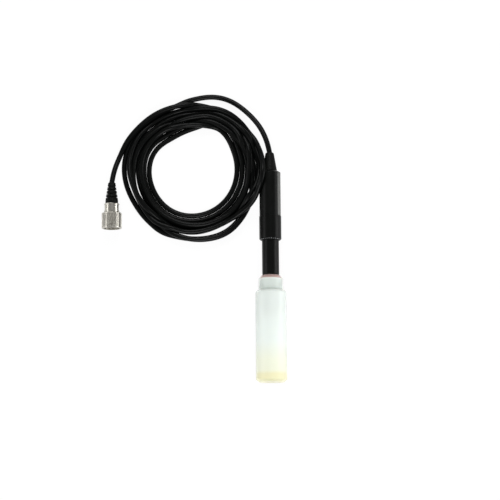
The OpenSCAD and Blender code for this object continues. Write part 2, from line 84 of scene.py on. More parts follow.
def make_camera():
    """Camera at the picture's angle, aimed at its middle."""
    data = bpy.data.cameras.new("camera")
    data.sensor_width = 36
    data.lens = data.sensor_width * CAMERA_DISTANCE / VIEW_WIDTH
    camera = bpy.data.objects.new("camera", data)
    bpy.context.collection.objects.link(camera)
    height = math.radians(CAMERA_HEIGHT_DEG)
    back = Vector((0, -math.cos(height), math.sin(height)))
    camera.location = VIEW_CENTRE + back * CAMERA_DISTANCE
    turn = (-back).to_track_quat("-Z", "Y").to_matrix()
    roll = Matrix.Rotation(math.radians(-CAMERA_ROLL_DEG), 3, "Z")
    camera.rotation_euler = (turn @ roll).to_euler()
    bpy.context.scene.camera = camera
    return camera


camera = make_camera()
print("lens", round(camera.data.lens, 1), "mm, camera at", [round(c, 3) for c in camera.location])

# %% [markdown]
# The cable's route
#
# The cable is 3 m of 5 mm lead. It leaves the strain relief, goes round eight times and ends in
# the plug. Such a coil could be drawn as one spline by hand, but then strands cut through each
# other. It could be simulated as a chain, but then its loops go where they like. The way between
# is to say roughly where each turn lies and to let the line settle.
#
# Every 30 degrees a turn has a lane, counted in cable widths from the coil's hole, and a layer
# above the table. The route's two ends repeat the points of the CAD model's two leads.

# %% Choose the cable's route
CABLE_D = 0.005
CABLE_LENGTH = 3.0
LEAD_ROUTE = [
    (0, 0.10875, 0.0146), (0, 0.11375, 0.0146), (-0.003, 0.122, 0.014), (-0.009, 0.136, 0.011),
    (-0.021, 0.15, 0.007), (-0.032, 0.16, 0.004), (-0.042, 0.165, 0.003), (-0.055, 0.167, 0.003),
    (-0.068, 0.165, 0.003), (-0.08, 0.161, 0.003), (-0.091, 0.156, 0.003), (-0.1, 0.152, 0.003),
]
PLUG_ROUTE = [
    (-0.112, 0.147, 0.003), (-0.122, 0.139, 0.003), (-0.131, 0.129, 0.003), (-0.138, 0.118, 0.003),
    (-0.143, 0.108, 0.004), (-0.147, 0.098, 0.007), (-0.15, 0.086, 0.0095), (-0.15, 0.082, 0.0095),
]
print("points at the probe's end", len(LEAD_ROUTE), "and at the plug's end", len(PLUG_ROUTE))

# %% Choose where each turn lies
TURN_START_DEG = 120
TURN_STEP_DEG = 30
# Radius of the coil's hole every 30 degrees, from the right side towards the back
HOLE_RADII = [
    0.0418, 0.0442, 0.0488, 0.0358, 0.034, 0.0375, 0.038, 0.0382, 0.0407, 0.0416, 0.0418, 0.0418,
]
# Lane of each turn at 120, 150, 180 ... 330, 0, 30, 60 and 90 degrees
TURN_LANES = [
    [5.3, 5.1, 4.8, 4.3, 4.0, 4.4, 4.9, 3.8, 3.2, 2.6, 1.8, 2.3],
    [2.6, 2.9, 3.2, 3.3, 3.4, 3.3, 2.9, 4.6, 5.3, 4.0, 2.9, 4.5],
    [4.5, 4.1, 3.6, 3.2, 2.9, 3.2, 3.0, 3.3, 4.4, 3.2, 2.1, 3.6],
    [3.5, 3.5, 3.4, 3.3, 3.5, 4.6, 5.3, 4.0, 2.7, 2.2, 1.4, 2.6],
    [2.4, 2.4, 2.1, 2.1, 2.1, 2.2, 2.1, 2.1, 2.1, 1.5, 0.5, 1.4],
    [1.0, 1.3, 1.1, 1.1, 1.1, 1.1, 1.1, 1.1, 1.1, 1.0, 0.8, 0.6],
    [0.1, 0.2, 0.1, 0.1, 0.1, 0.1, 0.1, 0.1, 0.1, 0.1, 0.1, 1.0],
    [2.1, 1.7, 1.5, 1.6, 1.6, 1.9, 2.4, 2.6, 2.4, 2.6, 2.7, 5.2],
]
# Layer of each turn at the same angles
TURN_LAYERS = [
    [0, 0, 0, 0, 0, 0, 0, 0, 0, 0, 0, 0],
    [0, 1, 1, 1, 1, 1, 1, 2, 4.6, 2.6, 1, 1],
    [0, 1, 1, 1, 1, 1, 0, 1, 3.6, 2, 1, 1],
    [0, 0, 0, 0, 0, 1, 1, 1, 0, 1, 1, 1],
    [0, 0, 0, 0, 0, 0, 0, 0, 0, 0, 1, 1],
    [0, 0, 0, 0, 0, 0, 0, 0, 0, 0, 0, 0],
    [0, 0, 0, 0, 0, 0, 0, 0, 0, 0, 0, 1],
    [1, 1, 1, 1, 1, 1, 1, 1, 1, 1, 0, 1],
]
# Where the last turn leaves the coil, over the lead
LEAVE_LANE = 5.6
LEAVE_LAYER = 1
print("turns", len(TURN_LANES), "outermost lane", max(max(turn) for turn in TURN_LANES))

# %% Place points round the turns
# Height of a strand's middle above the table and of each further layer, in cable widths
LAYER_FOOT = 0.55
LAYER_RISE = 0.9


def coil_points():
    """Points every half step round the turns, from the lead to where the plug's end leaves."""
    centre = (coil_lo + coil_hi) / 2
    lanes = [lane for turn in TURN_LANES for lane in turn] + [LEAVE_LANE]
    layers = [layer for turn in TURN_LAYERS for layer in turn] + [LEAVE_LAYER]
    points = []
    for at in np.arange(2 * len(lanes) - 1) / 2:
        degrees = TURN_START_DEG + TURN_STEP_DEG * at
        hole = np.interp(degrees % 360, range(0, 361, TURN_STEP_DEG), HOLE_RADII + HOLE_RADII[:1])
        radius = hole + CABLE_D * (np.interp(at, range(len(lanes)), lanes) + 0.5)
        layer = np.interp(at, range(len(layers)), layers)
        points.append((
            centre[0] + radius * math.cos(math.radians(degrees)),
            centre[1] + radius * math.sin(math.radians(degrees)),
            CABLE_D * (LAYER_FOOT + LAYER_RISE * layer),
        ))
    return points


route = LEAD_ROUTE + coil_points() + PLUG_ROUTE
print("points on the whole route", len(route))

# %% Draw a smooth line through them
SPACING = 0.003
STEPS_BETWEEN = 24


def smooth_line(points, spacing):
    """Points at one spacing along a smooth curve through the given points."""
    points = np.array(points, float)
    padded = np.vstack([2 * points[0] - points[1], points, 2 * points[-1] - points[-2]])
    t = np.linspace(0, 1, STEPS_BETWEEN, endpoint=False)[:, None]
    curve = []
    for a, b, c, d in zip(padded, padded[1:], padded[2:], padded[3:]):
        curve.append(
            0.5 * (2 * b + (c - a) * t + (2 * a - 5 * b + 4 * c - d) * t**2
                   + (3 * b - a - 3 * c + d) * t**3)
        )
    curve = np.vstack([*curve, points[-1:]])
    run = np.concatenate([[0], np.cumsum(np.linalg.norm(np.diff(curve, axis=0), axis=1))])
    count = int(round(run[-1] / spacing)) + 1
    at = np.linspace(0, run[-1], count)
    return np.stack([np.interp(at, run, curve[:, k]) for k in range(3)], axis=1)


drawn_line = smooth_line(route, SPACING)
print("points on the drawn line", len(drawn_line))

# %% [markdown]
# Letting the cable settle
#
# A real lead keeps its length, resists bending, sinks until something holds it and can't pass
# through anything. Each of these is one small rule that moves the points of the line a little:
#
# * `soften` is the stiffness: it rounds the line off
# * `push_apart` keeps strands one cable width from each other
# * `push_from_bars` keeps them out of the handle, the strain relief and the plug
# * `keep_length` pulls the points back to one spacing
#
# Repeated a few hundred times, they bring the line to rest. This is how cloth and rope solvers
# work inside, and written out it gives the same coil at every run.

# %% Find strands that are near each other
# Both in cable widths: how near a pair is, and how far apart along the line at least
PAIR_REACH = 1.5
PAIR_SKIP = 2.2


def near_pairs(points, reach, skip):
    """Pairs of points closer than reach that are more than skip places apart along the line."""
    gap = points[:, None, :].astype(np.float32) - points[None, :, :].astype(np.float32)
    close = (gap**2).sum(axis=2) < reach**2
    first, second = np.nonzero(np.triu(close, skip))
    return first, second


crossed, _ = near_pairs(drawn_line, CABLE_D / 2, int(PAIR_SKIP * CABLE_D / SPACING))
print("pairs of points less than half a width apart, as drawn", len(crossed))

# %% Push strands apart
# More than the overlap is taken back at once, and less where a point is in many pairs
PUSH_GAIN = 1.5
CROWD_SHARE = 0.5
TINY = 1e-9


def push_apart(points, first, second):
    """Moves the two points of each pair apart where they are nearer than one cable width."""
    gap = points[first] - points[second]
    apart = np.linalg.norm(gap, axis=1) + TINY
    push = np.clip(CABLE_D - apart, 0, None) / apart * 0.5
    move = np.zeros_like(points)
    count = np.ones(len(points))
    for side, sign in ((first, 1), (second, -1)):
        np.add.at(move, side, sign * gap * push[:, None])
        np.add.at(count, side, CROWD_SHARE * (push > 0))
    return points + PUSH_GAIN * move / count[:, None]


two_strands = push_apart(np.array([[0, 0, 0], [0.6 * CABLE_D, 0, 0]]), [0], [1])
print("two strands 0.6 widths apart come to", round(np.ptp(two_strands) / CABLE_D, 2), "widths")

# %% Keep the cable out of the round pieces
# Each piece along Y: its x, its z, places along Y, and its radius at each of them
BARS = [
    (0.0, axis_z, (0.0, 0.0915, 0.0965, 0.1083), (0.01005, 0.01005, 0.0075, 0.004)),
    (-0.15, 0.0095, (0.03, boot_end - 0.001), (0.0097, 0.0097)),
]


def push_from_bars(points):
    """Moves points out of the handle, the strain relief and the plug."""
    for x, z, stations, radii in BARS:
        inside = (points[:, 1] > stations[0]) & (points[:, 1] < stations[-1])
        limit = CABLE_D / 2 + np.interp(points[:, 1], stations, radii)
        off = points[:, [0, 2]] - [x, z]
        away = np.linalg.norm(off, axis=1) + TINY
        push = np.where(inside & (away < limit), limit / away - 1, 0)[:, None]
        points[:, [0, 2]] += off * push
    return points


drawn_inside = np.abs(push_from_bars(drawn_line.copy()) - drawn_line).max()
print("the drawn line cuts up to", round(drawn_inside * MM_IN_M, 2), "mm into the round pieces")

# %% Keep the cable's length and stiffness


def keep_length(points, rest):
    """Pulls neighbours to one spacing, the even pairs first and then the odd ones."""
    for parity in (0, 1):
        a, b = points[parity:-1:2], points[parity + 1::2]
        line = b - a[:len(b)]
        size = np.linalg.norm(line, axis=1, keepdims=True)
        fix = 0.5 * (size - rest) / size * line
        a[:len(b)] += fix
        b -= fix
    return points


def soften(points, times):
    """Rounds the line off: each point moves to the average of itself and its neighbours."""
    for _ in range(times):
        points[1:-1] = 0.25 * points[:-2] + 0.5 * points[1:-1] + 0.25 * points[2:]
    return points


FIRST_SOFTENING = 12
start_line = soften(drawn_line.copy(), FIRST_SOFTENING)
print("softening moves the drawn line by up to",
      round(np.linalg.norm(start_line - drawn_line, axis=1).max() * MM_IN_M, 2), "mm")

# %% Choose how it settles
SETTLE_ROUNDS = 240
# Near pairs are looked for again after some rounds, and pushed a few times in each
PAIR_ROUNDS = 6
PUSHES = 3
# How far the line sinks in a round, and in the last ones
SINK = 0.00008
LAST_SINK = 0.00003
LAST_SINK_FROM = 0.8
# How firmly the line holds to the drawn one, and how much more near its ends
ROUTE_GRIP = 0.12
END_GRIP = 0.7
END_POINTS = 5
LAST_SOFTENING = 2
most = SETTLE_ROUNDS * (LAST_SINK_FROM * SINK + (1 - LAST_SINK_FROM) * LAST_SINK)
print("the line can sink by", round(most * MM_IN_M, 1), "mm at most")

# %% Settle the whole line


def settle(start):
    """Lets the line sink and rest on the table, the other pieces and itself."""
    points = start.copy()
    rest = np.linalg.norm(np.diff(points, axis=0), axis=1).mean()
    place = np.arange(len(points))
    from_end = np.minimum(place, place[::-1])[:, None]
    grip = ROUTE_GRIP * np.array([1, 1, 0]) + END_GRIP * np.exp(-from_end / END_POINTS)
    skip = int(PAIR_SKIP * CABLE_D / rest)
    for step in range(SETTLE_ROUNDS):
        if step % PAIR_ROUNDS == 0:
            first, second = near_pairs(points, PAIR_REACH * CABLE_D, skip)
        points[:, 2] -= SINK if step < LAST_SINK_FROM * SETTLE_ROUNDS else LAST_SINK
        points += grip * (start - points)
        points = soften(points, 1)
        for _ in range(PUSHES):
            points = push_apart(points, first, second)
        points = push_from_bars(keep_length(points, rest))
        points[:, 2] = np.maximum(points[:, 2], CABLE_D / 2)
        points[[0, -1]] = start[[0, -1]]
    return soften(points, LAST_SOFTENING)


line = settle(start_line)
length = np.linalg.norm(np.diff(line, axis=0), axis=1).sum()
print("cable length", round(float(length), 3), "m")
print("highest point of its middle", round(float(line[:, 2].max()) * MM_IN_M, 1), "mm")

# %% [markdown]
# The cable itself
#
# A round lead is a circle swept along a line, and a curve with a bevel depth makes that with one
# number for the radius. The curve is turned into a mesh at once, and the mesh keeps a UV map that
# follows the lead: U runs along it and V round it.
#
# The lead is hung on the root, and it stands for three CAD solids, which are hidden: the lead,
# the ring that holds the coil's place, and the short lead at the plug.

# %% Make the cable
# A bevel resolution of 4 gives the cable 12 sides, and its line has 2 steps from point to point
ROUND_STEPS = 4
LINE_STEPS = 2


def make_cable(points):
    """A round cable along the points: one open spline, turned into a mesh."""
    curve = bpy.data.curves.new("cable", "CURVE")
    curve.dimensions = "3D"
    curve.bevel_depth = CABLE_D / 2
    curve.bevel_resolution = ROUND_STEPS
    curve.resolution_u = LINE_STEPS
    spline = curve.splines.new("NURBS")
    spline.points.add(len(points) - 1)
    for place, point in zip(spline.points, points):
        place.co = (*point, 1)
    spline.order_u = 4
    spline.use_endpoint_u = True
    spare = bpy.data.objects.new("cable_curve", curve)
    mesh = bpy.data.meshes.new_from_object(spare)
    bpy.data.objects.remove(spare)
    cable = bpy.data.objects.new("cable", mesh)
    bpy.context.collection.objects.link(cable)
    print("cable faces", len(mesh.polygons), "UV maps", [layer.name for layer in mesh.uv_layers])
    return cable


cable = make_cable(line)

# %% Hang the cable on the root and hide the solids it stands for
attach(cable, "root")
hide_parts("cable_lead", "cable_coil", "plug_lead")

# %% [markdown]
# The ring behind the collar's notches
#
# The collar's lower rim is notched, and the picture shows a dotted line of light there: something
# bright lies at the bottom of the notches. On such a collar that is a round-wire snap ring, which
# keeps it on the stem's flange. The notches are in the CAD solid. The ring could be drawn there
# too, but it is thin trim, so it is made here: a small circle is spun once round the probe's axis.

# %% Make the snap ring
RING_WIRE_D = 0.0008
RING_FROM_RIM = 0.001
NOTCH_DEPTH = 0.0009
# How far the wire's middle stands out of the notches' floor, in wire widths
RING_PROUD = 0.1
WIRE_SIDES = 10
RING_STEPS = 120
MERGE_WITHIN = 1e-6


def make_snap_ring():
    """A ring of round wire that shows through the collar's notches."""
    lo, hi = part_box("collar")
    radius = (hi[0] - lo[0]) / 2 - NOTCH_DEPTH + RING_PROUD * RING_WIRE_D
    centre = Vector((0, lo[1] + RING_FROM_RIM, axis_z))
    shape = bmesh.new()
    wire = bmesh.ops.create_circle(shape, segments=WIRE_SIDES, radius=RING_WIRE_D / 2,
                                   matrix=Matrix.Translation(centre + Vector((radius, 0, 0))))
    edges = list({edge for vert in wire["verts"] for edge in vert.link_edges})
    bmesh.ops.spin(shape, geom=wire["verts"] + edges, cent=centre, axis=(0, 1, 0),
                   angle=math.tau, steps=RING_STEPS, use_merge=True)
    bmesh.ops.remove_doubles(shape, verts=shape.verts, dist=MERGE_WITHIN)
    bmesh.ops.recalc_face_normals(shape, faces=shape.faces)
    for face in shape.faces:
        face.smooth = True
    mesh = bpy.data.meshes.new("snap_ring")
    shape.to_mesh(mesh)
    shape.free()
    ring = bpy.data.objects.new("snap_ring", mesh)
    bpy.context.collection.objects.link(ring)
    print("snap ring", round(2 * radius * MM_IN_M, 2), "mm across,", len(mesh.polygons), "faces")
    return ring


snap_ring = make_snap_ring()
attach(snap_ring, "root")

# %% [markdown]
# How a finish is built
#
# Every finish is one Principled shader. Its constants start from typical values of the real
# material. What makes it look real is small variation: the colour and the shine wander a little,
# and a fine grain bends the light. Patterns could come from images, but procedural noise has no
# seams and no end, and its scale is known: Object coordinates are in metres, so a pattern of a
# size in millimetres has a scale of 1000 over that size.

# %% Turn a hex colour to linear


def linear(code):
    """Linear colour of an sRGB hex code."""
    parts = [int(code[i:i + 2], 16) / 255 for i in (1, 3, 5)]
    return (*[c / 12.92 if c <= 0.04045 else ((c + 0.055) / 1.055) ** 2.4 for c in parts], 1)


print("mid grey #808080 is", round(linear("#808080")[0], 3), "in linear light")

# %% Add a node, and start a finish
# The shader that every finish and the table start from
SHADER = "Principled BSDF"


def add(tree, kind, inputs=(), **settings):
    """A new node with its settings, and its inputs set to values or linked to other sockets."""
    node = tree.nodes.new(kind)
    for name, value in settings.items():
        setattr(node, name, value)
    for key, value in dict(inputs).items():
        if isinstance(value, bpy.types.NodeSocket):
            tree.links.new(value, node.inputs[key])
        else:
            node.inputs[key].default_value = value
    return node


def principled(name, colour, roughness, **values):
    """A material and its shader, with the colour and roughness set on the shader itself."""
    material = bpy.data.materials.new(name)
    material.use_nodes = True
    shader = material.node_tree.nodes[SHADER]
    shader.inputs["Base Color"].default_value = linear(colour)
    shader.inputs["Roughness"].default_value = roughness
    for key, value in values.items():
        shader.inputs[key.replace("_", " ")].default_value = value
    return material, shader


print("each finish starts from one", SHADER)

# %% Draw a random pattern of a size


def mottle(tree, size_mm, detail=3.0, stretch=(1, 1, 1)):
    """A soft random pattern whose patches are size_mm wide, with its scale stretched by axis."""
    coordinates = add(tree, "ShaderNodeTexCoord").outputs["Object"]
    scaled = add(tree, "ShaderNodeMapping", {"Vector": coordinates, "Scale": stretch})
    return add(tree, "ShaderNodeTexNoise", {
        "Vector": scaled.outputs[0], "Scale": MM_IN_M / size_mm, "Detail": detail,
    }).outputs["Fac"]


print("patches 6 mm wide have a noise scale of", round(MM_IN_M / 6, 1))

# %% Let a colour or a number wander


def vary(tree, shader, socket, factor, low, high):
    """Drives one socket of the shader from low to high, numbers or colours, by a factor."""
    if isinstance(low, str):
        mix = add(tree, "ShaderNodeMix", {"Factor": factor}, data_type="RGBA")
        mix.inputs["A"].default_value = linear(low)
        mix.inputs["B"].default_value = linear(high)
        tree.links.new(mix.outputs["Result"], shader.inputs[socket])
    else:
        spread = add(tree, "ShaderNodeMapRange", {"Value": factor, "To Min": low, "To Max": high})
        tree.links.new(spread.outputs[0], shader.inputs[socket])


print("from #040504 to #070807 is", round(linear("#040504")[0], 4), "to",
      round(linear("#070807")[0], 4), "in linear light")

# %% Give the surface its grain
EDGE_SAMPLES = 4


def grain(tree, shader, factor, height_mm, edge_mm=0.0):
    """Surface grain of a height, over edges that look rounded by edge_mm."""
    bump = add(tree, "ShaderNodeBump", {"Height": factor, "Distance": height_mm / MM_IN_M,
                                        "Strength": 1.0})
    if edge_mm:
        soft = add(tree, "ShaderNodeBevel", {"Radius": edge_mm / MM_IN_M}, samples=EDGE_SAMPLES)
        tree.links.new(soft.outputs[0], bump.inputs["Normal"])
    tree.links.new(bump.outputs[0], shader.inputs["Normal"])


print("a grain 0.02 mm high is a bump distance of", 0.02 / MM_IN_M, "m")

# %% [markdown]
# Black ABS: handle, collar, stem and membrane cap
#
# These are injection-moulded ABS from a spark-eroded mould. It gives the eye a deep black with a
# satin sheen that only wakes near the edges. The spark grain is about 0.4 mm wide and 0.02 mm
# high, too fine to count but enough to soften every highlight. Hands leave patches of about a
# centimetre that are a little more polished.

# %% Moulded black plastic and rubber


def make_moulded_black(name, colour, worn, roughness, edge_mm, **values):
    """Moulded black with a fine spark-eroded grain and faint handling marks."""
    material, shader = principled(name, colour, roughness, **values)
    tree = material.node_tree
    vary(tree, shader, "Base Color", mottle(tree, 6, 4), colour, worn)
    vary(tree, shader, "Roughness", mottle(tree, 12, 5), roughness - 0.05, roughness + 0.08)
    grain(tree, shader, mottle(tree, 0.4, 2), 0.02, edge_mm)
    return material


# Satin: the sheen is low in the middle of a round piece and grows towards its edges
black_abs = make_moulded_black("moulded_black_abs", "#040504", "#070807", 0.34, 0.2,
                               IOR=1.53, Specular_IOR_Level=0.1)
# Matt: moulded thermoplastic rubber swallows most highlights
relief_rubber = make_moulded_black("moulded_black_rubber", "#060706", "#0a0b09", 0.5, 0.3,
                                   IOR=1.52, Specular_IOR_Level=0.08)
# Dull and dusty: pressed nitrile rubber of the hidden seals
soft_rubber = make_moulded_black("pressed_nitrile_rubber", "#0a0a0a", "#101010", 0.6, 0.1,
                                 IOR=1.52, Specular_IOR_Level=0.3)
print("blacks", black_abs.name, relief_rubber.name, soft_rubber.name)

# %% [markdown]
# Extruded PVC: the cable's skin
#
# The jacket is soft PVC drawn through a die. It gives the eye one thin line of light along each
# strand, broken where the skin is dusty. The die leaves fine lines along the lead. They follow the
# lead round every turn, so they read its UV map, stretched to metres. The lines are drawn 0.4 mm
# apart, coarser than real ones, so that they show.

# %% Cable skin
DIE_LINE_MM = 0.4
# How much longer than wide the die lines are
DIE_LINE_STRETCH = 40


def make_cable_skin():
    """Extruded jacket: satin, with die lines along the lead and a little dust."""
    material, shader = principled("extruded_black_pvc", "#060707", 0.3, IOR=1.54,
                                  Specular_IOR_Level=0.07)
    tree = material.node_tree
    followed = add(tree, "ShaderNodeUVMap", uv_map="UVMap")
    metres = add(tree, "ShaderNodeMapping", {
        "Vector": followed.outputs[0],
        "Scale": (CABLE_LENGTH / DIE_LINE_STRETCH, math.pi * CABLE_D, 1),
    })
    die_lines = add(tree, "ShaderNodeTexNoise", {
        "Vector": metres.outputs[0], "Scale": MM_IN_M / DIE_LINE_MM, "Detail": 2.0,
    }).outputs["Fac"]
    vary(tree, shader, "Base Color", mottle(tree, 20, 3), "#050606", "#0a0b0a")
    vary(tree, shader, "Roughness", mottle(tree, 3, 4), 0.26, 0.36)
    grain(tree, shader, die_lines, 0.012)
    return material


cable_pvc = make_cable_skin()
print("cable skin", cable_pvc.name)

# %% [markdown]
# Milky polyethylene and polypropylene: the bottle and its cap
#
# The bottle is blow-moulded polyethylene without pigment, and the cap is injection-moulded
# polypropylene. Both are milky: light goes in, wanders and comes out near by, and dark things
# behind the wall show as soft shadows. Full transmission would be the textbook way, but in a thin
# wall it turns grey or blows out. Here each face covers what is behind it by a share, the Alpha,
# and a little subsurface light does the rest. It stays bright, lets the foam, the seal and the
# tip show faintly, and survives export.
#
# Near its base the bottle's colour takes a faint painted yellow glow of the foam seen through the
# wall, and where the foam touches the wall its colour is painted in full, as the foam's light
# through the wall. The cap's mouth takes a painted pink glow of the red seal the same way.

# %% Measure along the probe


def along(tree, start, end):
    """0 at start to 1 at end, in metres along the probe."""
    coordinates = add(tree, "ShaderNodeTexCoord").outputs["Object"]
    parts = add(tree, "ShaderNodeSeparateXYZ", {"Vector": coordinates})
    spread = add(tree, "ShaderNodeMapRange",
                 {"Value": parts.outputs["Y"], "From Min": start, "From Max": end})
    return spread.outputs[0]


bottle_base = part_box("storage_bottle")[0][1]
foam_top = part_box("foam_pad")[1][1]
cap_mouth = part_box("bottle_cap")[1][1]
print("base, foam and mouth at y", [round(y, 4) for y in (bottle_base, foam_top, cap_mouth)])

# %% Milky plastic
# How far light wanders in the wall, and its share by colour: the blue is lost first
SCATTER_DEPTH = 0.004
SCATTER_BY_COLOUR = (1.0, 0.95, 0.85)


def make_milky(name, colour, second, roughness, cover, scatter, painted_glows, **values):
    """Milky plastic: each face covers what is behind it by a share, and the wall scatters light.

    Each painted glow is a start, an end and a colour, which the wall takes on from start to end:
    the light of a coloured piece behind the wall, painted into the wall's colour.
    """
    material, shader = principled(name, colour, roughness, Alpha=cover, Subsurface_Weight=scatter,
                                  Subsurface_Scale=SCATTER_DEPTH, Specular_IOR_Level=0.3,
                                  Subsurface_Radius=SCATTER_BY_COLOUR, **values)
    tree = material.node_tree
    vary(tree, shader, "Base Color", mottle(tree, 20, 3), colour, second)
    vary(tree, shader, "Roughness", mottle(tree, 9, 4), roughness - 0.04, roughness + 0.06)
    wall = shader.inputs["Base Color"].links[0].from_socket
    # Painted glow: the colour of a piece behind the wall, mixed into the wall's colour along the
    # probe
    for start, end, glow_colour in painted_glows:
        mix = add(tree, "ShaderNodeMix", {"Factor": along(tree, start, end)}, data_type="RGBA")
        tree.links.new(wall, mix.inputs["A"])
        mix.inputs["B"].default_value = linear(glow_colour)
        wall = mix.outputs["Result"]
    tree.links.new(wall, shader.inputs["Base Color"])
    grain(tree, shader, mottle(tree, 1.2, 3), 0.02, 0.3)
    return material


print("light wanders", SCATTER_DEPTH * MM_IN_M, "mm in the milky walls")

# %% Bottle and cap
# Above the bottle's base: where the painted yellow glow of the foam starts and where it is full
FOAM_GLOW_FROM = 0.038
FOAM_GLOW_FULL = 0.02
# Below the foam's top: where the wall has the foam's colour in full, painted as the foam's light
# through it
FOAM_TOUCH_GLOW_FULL = 0.003
# Below the cap's mouth: where the painted pink glow of the seal starts and where it is full
SEAL_GLOW_FROM = 0.003
SEAL_GLOW_FULL = 0.002
# Waxy and pale, with a slight green, and a painted yellow glow of the foam towards the base
bottle_pe = make_milky("blow_moulded_polyethylene", "#e8f0eb", "#eef5f0", 0.34, 0.6, 0.3, [
    (bottle_base + FOAM_GLOW_FROM, bottle_base + FOAM_GLOW_FULL, "#f1f4e1"),
    (foam_top, foam_top - FOAM_TOUCH_GLOW_FULL, "#f0edca"),
], IOR=1.51)
# Clearer and a little greyer: the stem shows through, and a pink glow of the red seal is painted
# at its mouth
cap_pp = make_milky("moulded_polypropylene", "#dde6e0", "#e4ebe6", 0.25, 0.34, 0.2, [
    (cap_mouth - SEAL_GLOW_FROM, cap_mouth - SEAL_GLOW_FULL, "#dcbfb8"),
], IOR=1.49)
print("milky finishes", bottle_pe.name, cap_pp.name)

# %% [markdown]
# Foam, silicone and fluoropolymer: the soft parts in the bottle
#
# The pad at the bottle's base is open-cell foam, kept damp. It gives the eye a pale yellow, drawn
# as cells 0.7 mm wide, with the colour darker in the cells' pits as painted shade. The seal rings
# are pressed silicone, brick red and dull. The slip washer is skived fluoropolymer: white, waxy
# and plain.

# %% Foam
FOAM_CELL_MM = 0.7


def make_foam():
    """Damp open-cell foam: pale yellow, pitted, with painted shade in the pits."""
    material, shader = principled("damp_open_cell_foam", "#ece08a", 0.85, Subsurface_Weight=0.3,
                                  Subsurface_Scale=0.002)
    tree = material.node_tree
    cells = add(tree, "ShaderNodeTexVoronoi", {
        "Vector": add(tree, "ShaderNodeTexCoord").outputs["Object"],
        "Scale": MM_IN_M / FOAM_CELL_MM,
    }).outputs["Distance"]
    # The colour is darker in the pits that the same cells dent: painted shade
    vary(tree, shader, "Base Color", cells, "#e6d878", "#f2e89c")
    grain(tree, shader, cells, 0.2)
    return material


foam = make_foam()
print("foam", foam.name, "with cells", FOAM_CELL_MM, "mm wide")

# %% Seals and washer


def make_waxy(name, colour, second, **values):
    """A soft pressed or skived ring with a dry bloom."""
    material, shader = principled(name, colour, 0.5, Subsurface_Weight=0.15,
                                  Subsurface_Scale=0.001, **values)
    tree = material.node_tree
    vary(tree, shader, "Base Color", mottle(tree, 2, 3), colour, second)
    vary(tree, shader, "Roughness", mottle(tree, 3, 3), 0.45, 0.6)
    grain(tree, shader, mottle(tree, 0.5, 2), 0.01)
    return material


# Brick red with a dry bloom
seal_red = make_waxy("pressed_red_silicone", "#a8331f", "#b5402b", IOR=1.41)
# White and waxy, as a slice off a block is
washer = make_waxy("skived_white_fluoropolymer", "#eeeeea", "#f6f6f2", IOR=1.35)
print("soft finishes", seal_red.name, washer.name)

# %% [markdown]
# Metals: plug, snap ring, clamp and electrodes
#
# The plug's shell is turned brass with a nickel plate, satin and faintly warm. Steel and silver
# are cooler, gold is yellow. Turning leaves lines round the Y axis, so the pattern is squeezed
# along Y and drawn out across it. The lines are drawn 0.4 mm apart, several times the real feed,
# so that they show. A metal's colour is its reflection, so Metallic is 1 and the IOR stays.

# %% Turned and plated metals
TURNING_MM = 0.4
# Scale of the turning lines along x, y and z: fine along the probe, drawn out across it
TURNING_STRETCH = (0.05, 3, 0.05)


def make_metal(name, colour, second, roughness):
    """Turned metal, with fine lines round it and spots that are more worn."""
    material, shader = principled(name, colour, roughness, Metallic=1.0)
    tree = material.node_tree
    turning = mottle(tree, TURNING_MM, 2, stretch=TURNING_STRETCH)
    vary(tree, shader, "Base Color", mottle(tree, 5, 4), colour, second)
    vary(tree, shader, "Roughness", mottle(tree, 4, 4), roughness - 0.06, roughness + 0.1)
    grain(tree, shader, turning, 0.006, 0.15)
    return material


# Satin and faintly warm: the plate takes the brass's fine turning lines
nickel = make_metal("nickel_plated_brass", "#b9b6ae", "#c2bfb6", 0.28)
# Cooler and a little darker: drawn wire and turned buttons
steel = make_metal("drawn_stainless_steel", "#a9abad", "#b4b6b8", 0.25)
# Yellow and clean: thin gold on pins and cathode
gold = make_metal("gold_plate", "#d9b15a", "#e0bb68", 0.22)
# White, dulled a little where it has worked as an anode
silver = make_metal("turned_fine_silver", "#cfd0cf", "#c4c2bd", 0.3)
print("metals", [metal.name for metal in (nickel, steel, gold, silver)])

# %% [markdown]
# Label film, circuit board and small parts
#
# The grey plate on the handle is bare polyester film: flat, mid grey, almost without shine. The
# board is glass-epoxy under green solder mask. The electrode body is cast epoxy, and the wires
# have sleeves of amber polyimide. Each has one pattern of its own size, so one function serves.

# %% Plain surfaces


def make_plain(name, colour, second, roughness, size_mm, **values):
    """A printed, coated or cast surface with small variation of one size."""
    material, shader = principled(name, colour, roughness, **values)
    tree = material.node_tree
    pattern = mottle(tree, size_mm, 4)
    vary(tree, shader, "Base Color", pattern, colour, second)
    vary(tree, shader, "Roughness", pattern, roughness - 0.05, roughness + 0.05)
    grain(tree, shader, mottle(tree, size_mm / 6, 2), 0.01)
    return material


# Mid grey and matt: the film has no gloss coat
label_grey = make_plain("bare_grey_polyester_film", "#575856", "#5c5d5b", 0.5, 4,
                        Specular_IOR_Level=0.2)
# Deep green with a soft gloss: lacquer over copper
board_green = make_plain("green_solder_mask", "#1d5a35", "#236840", 0.35, 3, IOR=1.55)
# Dark and even: resin cast in a smooth mould
epoxy = make_plain("cast_dark_epoxy", "#1a1a1c", "#222224", 0.35, 3, IOR=1.55)
# Warm amber with a gloss: thin sleeves on the wires
wire_amber = make_plain("amber_polyimide_sleeve", "#c98a2c", "#d2963a", 0.4, 2, IOR=1.6)
# Brown and glossy: a dipped bead
bead = make_plain("coated_thermistor_bead", "#5b3622", "#6a4029", 0.3, 1, IOR=1.5)
# Thin and clear: the membrane shows as a faint gloss over the electrodes
film = make_plain("thin_fluoropolymer_film", "#e8ecee", "#eef1f2", 0.15, 2,
                  Transmission_Weight=0.8, IOR=1.36)
print("label", label_grey.name, "board", board_green.name)

# %% [markdown]
# Dressing the pieces
#
# The CAD pieces keep their meshes and only get a finish. One table says which piece has which, so
# that a missing piece is easy to see. The last line names the nodes that have no finish.

